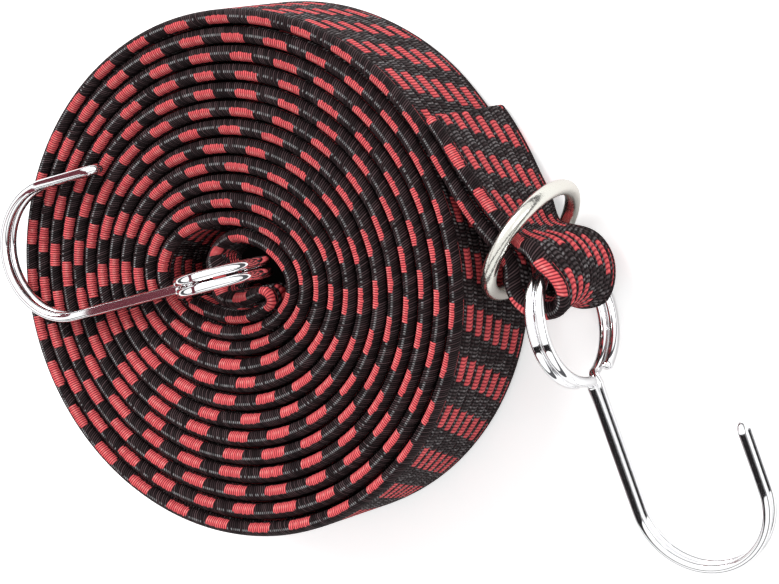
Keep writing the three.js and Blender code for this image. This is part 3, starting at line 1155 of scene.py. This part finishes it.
@dataclass(frozen=True)
class ClampRing:
    """Round wire ring that clamps the two layers of the outer end."""

    wire_diameter: float = 3.0
    segments: int = 144
    sides: int = 24

    def build(self, material: Material) -> Object:
        """Builds the ring in place of its CAD node."""
        _, across = CLAMP.axes()
        angle = np.linspace(0.0, math.tau, self.segments, endpoint=False)
        turn = np.linspace(0.0, math.tau, self.sides, endpoint=False)
        up = np.array([0.0, 0.0, 1.0])
        outward = np.cos(angle)[:, None] * across + np.sin(angle)[:, None] * up
        normal = np.cross(across, up)
        half = self.wire_diameter / 2.0
        reach = CLAMP.radius + half * np.cos(turn)
        rings = outward[:, None, :] * reach[None, :, None]
        rings = rings + (half * np.sin(turn))[None, :, None] * normal
        centre = np.array([CLAMP.x, CLAMP.y, MID_HEIGHT])
        made = tube_object("clamp_ring_wire", rings + centre, material, ring_closed=True)
        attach(made, Body.CORD.value)
        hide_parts("clamp_ring")
        return made


# Studio


@dataclass(frozen=True)
class Panel:
    """A rectangular soft light, aimed at the object. Metres and watts."""

    name: str
    place: Triple
    size: Pair
    power: float


@dataclass(frozen=True)
class Screen:
    """Dark arch that only mirrors see, in the directions that a straight wire reflects.

    It is part of a ball round the wire's middle: the band round a given angle from the wire,
    between two turns about the wire, which start at its top, or at +X if it stands upright.
    Metres and degrees.
    """

    name: str
    centre: Triple
    axis: Triple
    angle: float
    half_width: float
    turns: Pair
    radius: float
    colour: Triple = (0.006, 0.004, 0.005)
    steps: int = 24

    def build(self) -> Object:
        """Builds the screen as a strip of faces."""
        axis = np.array(self.axis)
        upright = abs(axis[2]) > 0.9
        start = np.array([1.0, 0.0, 0.0] if upright else [0.0, 0.0, 1.0])
        first = start - (start @ axis) * axis
        first /= np.linalg.norm(first)
        sides = np.array([-self.half_width, self.half_width])
        angle = np.radians(self.angle + sides)[:, None, None]
        turn = np.radians(np.linspace(*self.turns, self.steps + 1))[None, :, None]
        around = np.cos(turn) * first + np.sin(turn) * np.cross(axis, first)
        points = np.array(self.centre) + self.radius * (
            np.cos(angle) * axis + np.sin(angle) * around
        )
        low = np.arange(self.steps)
        high = low + self.steps + 1
        faces = columns(low, low + 1, high + 1, high)
        dark = plain_material(self.name, Plain(self.colour, 1.0))
        made = mesh_object(self.name, points.reshape(-1, 3), faces.tolist(), dark)
        made.visible_camera = False
        made.visible_diffuse = False
        made.visible_shadow = False
        made.visible_transmission = False
        return made


# What the screens stand round, in metres, and the colours of two of them
OUTER_SHANK = (0.0486, -0.0294, 0.0080)
OUTER_RUN = (0.2572, -0.9400, -0.2241)
INNER_SHANK = (-0.0453, -0.0047, 0.0305)
INNER_RUN = (-0.9583, -0.2857, 0.0)
ORIGIN = (0.0, 0.0, 0.0)
UPWARD = (0.0, 0.0, 1.0)
ROUND_GREY = (0.07, 0.07, 0.075)
INNER_RED = (0.13, 0.024, 0.036)


@dataclass(frozen=True)
class Studio:
    """Pale floor, soft lights, dark screens for the chrome to mirror, and the camera.

    Lens, sensor, camera_distance, camera_shift and photo_place are in millimetres, turns in
    radians, the rest in metres.
    """

    world_level: float = 0.66
    mirrored_level: float = 1.15
    floor_half: float = 3.0
    floor_height: float = -0.0002
    floor_roughness: float = 0.9
    # Painted shade: the floor's dark colour under the roll's middle
    painted_hole_shade: Triple = (0.02, 0.02, 0.02)
    floor_lift: float = 0.42
    lift_start: float = 0.02
    lift_width: float = 0.03
    aim: Triple = (0.0, 0.0, 0.015)
    lens: float = 161.26
    sensor_width: float = 36.0
    clips: Pair = (0.01, 20.0)
    camera_distance: float = 700.0
    camera_shift: Pair = (-15.551, 5.219)
    camera_turns: Pair = (0.1522, -0.5505)
    photo_place: Triple = (-25.433, -0.579, 0.0)
    lights: tuple[Panel, ...] = (
        Panel("key_light", (-0.75, 0.95, 1.15), (1.0, 1.0), 24.0),
        Panel("side_light", (1.2, 0.3, 0.9), (0.6, 0.8), 3.0),
    )
    screens: tuple[Screen, ...] = (
        Screen("screen_outer", OUTER_SHANK, OUTER_RUN, 74.8, 5.2, (-66.0, 60.0), 0.42),
        Screen("screen_round", ORIGIN, UPWARD, 82.0, 7.5, (0.0, 360.0), 0.60, ROUND_GREY, 72),
        Screen("screen_inner", INNER_SHANK, INNER_RUN, 53.5, 4.5, (-90.0, 90.0), 0.15, INNER_RED),
    )

    def build(self) -> None:
        """Adds everything that isn't part of the object."""
        self._world()
        self._floor()
        for panel in self.lights:
            self._light(panel)
        for screen in self.screens:
            made = screen.build()
        self._camera()

    def _world(self) -> None:
        """Even pale light; the camera and mirrors see it white."""
        world = bpy.data.worlds.new("studio")
        bpy.context.scene.world = world
        world.use_nodes = True
        tree = world.node_tree
        soft = tree.nodes["Background"]
        soft.inputs["Color"].default_value = Shade.colour(WHITE)
        soft.inputs["Strength"].default_value = self.world_level
        path = tree.nodes.new("ShaderNodeLightPath")
        seen = soft.outputs[0]
        for ray, level in (("Is Camera Ray", 1.0), ("Is Glossy Ray", self.mirrored_level)):
            bright = tree.nodes.new("ShaderNodeBackground")
            bright.inputs["Color"].default_value = Shade.colour(WHITE)
            bright.inputs["Strength"].default_value = level
            mix = tree.nodes.new("ShaderNodeMixShader")
            tree.links.new(path.outputs[ray], mix.inputs[0])
            tree.links.new(seen, mix.inputs[1])
            tree.links.new(bright.outputs[0], mix.inputs[2])
            seen = mix.outputs[0]
        tree.links.new(seen, tree.nodes["World Output"].inputs["Surface"])

    def _floor(self) -> None:
        """White floor that keeps the object's shadow; a little brighter to the camera.

        Under the roll's middle, which shows only through its hole, it is dark: painted shade,
        without the lift.
        """
        shade = Shade("floor")
        shade.set("Roughness", self.floor_roughness)
        shade.set("Specular IOR Level", 0.0)
        path = shade.node("ShaderNodeLightPath")
        seen = Value(shade, path.outputs["Is Camera Ray"])
        place = shade.node("ShaderNodeTexCoord")
        roll = (ROUTE_PLACE[0] * MM, ROUTE_PLACE[1] * MM, 0.0)
        away = shade.node("ShaderNodeVectorMath", {1: roll}, operation="DISTANCE")
        shade.tree.links.new(place.outputs["Object"], away.inputs[0])
        distance = Value(shade, away.outputs["Value"])
        outside = ((distance - self.lift_start) / self.lift_width).limited()
        # Painted shade under the roll's middle: there the floor is dark and gets no lift
        shade.set("Base Color", shade.mix(outside, self.painted_hole_shade, WHITE))
        lift = (self.floor_lift,) * 3
        shade.set("Emission Color", shade.mix(seen * outside, (0.0, 0.0, 0.0), lift))
        shade.set("Emission Strength", 1.0)
        side = self.floor_half * np.array([-1.0, 1.0, 1.0, -1.0])
        points = columns(side, np.roll(side, 1), self.floor_height)
        floor = mesh_object("floor", points, [(0, 1, 2, 3)], shade.material)

    def _light(self, panel: Panel) -> None:
        """Adds one light, turned towards the object."""
        data = bpy.data.lights.new(panel.name, "AREA")
        data.shape = "RECTANGLE"
        data.size, data.size_y = panel.size
        data.energy = panel.power
        light = bpy.data.objects.new(panel.name, data)
        turn = (Vector(self.aim) - Vector(panel.place)).to_track_quat("-Z", "Y")
        light.matrix_world = Matrix.Translation(panel.place) @ turn.to_matrix().to_4x4()
        bpy.context.scene.collection.objects.link(light)

    def _camera(self) -> None:
        """Camera at the photo's viewing angle: a turn about Y, then a turn about X."""
        about_x, about_y = self.camera_turns
        turned = Matrix.Rotation(about_x, 3, "X") @ Matrix.Rotation(about_y, 3, "Y")
        back = turned.transposed()
        aside, above = self.camera_shift
        eye = back @ Vector((-aside, -above, self.camera_distance))
        place = (eye + Vector(self.photo_place)) * MM
        data = bpy.data.cameras.new("camera")
        data.lens = self.lens
        data.sensor_width = self.sensor_width
        data.clip_start, data.clip_end = self.clips
        camera = bpy.data.objects.new("camera", data)
        camera.matrix_world = Matrix.Translation(place) @ back.to_4x4()
        bpy.context.scene.collection.objects.link(camera)
        bpy.context.scene.camera = camera


def main() -> None:
    """Builds the whole scene."""
    logging.basicConfig(level=logging.INFO, format="%(name)s: %(message)s")
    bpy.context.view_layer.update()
    bpy.context.scene.view_settings.view_transform = "Standard"

    weave = weave_material(Weave())
    chrome = plain_material("chrome_wire", CHROME)
    satin = plain_material("satin_wire", SATIN)
    latex = plain_material("latex", LATEX)

    coil = Coil()
    route = Route(coil, ROUTE_STEP)
    LOG.info("strap length %.0f mm, weave %.1f mm", route.length, route.along[-1])
    strap = Strap(route, weave)
    pieces = [*strap.build(coil), strap.core(latex)]
    pieces += [outer_hook().build(chrome), inner_hook().build(chrome), ClampRing().build(satin)]
    for piece in pieces:
        LOG.info("%s: %d faces", piece.name, len(piece.data.polygons))

    Studio().build()


if __name__ == "__main__":
    main()
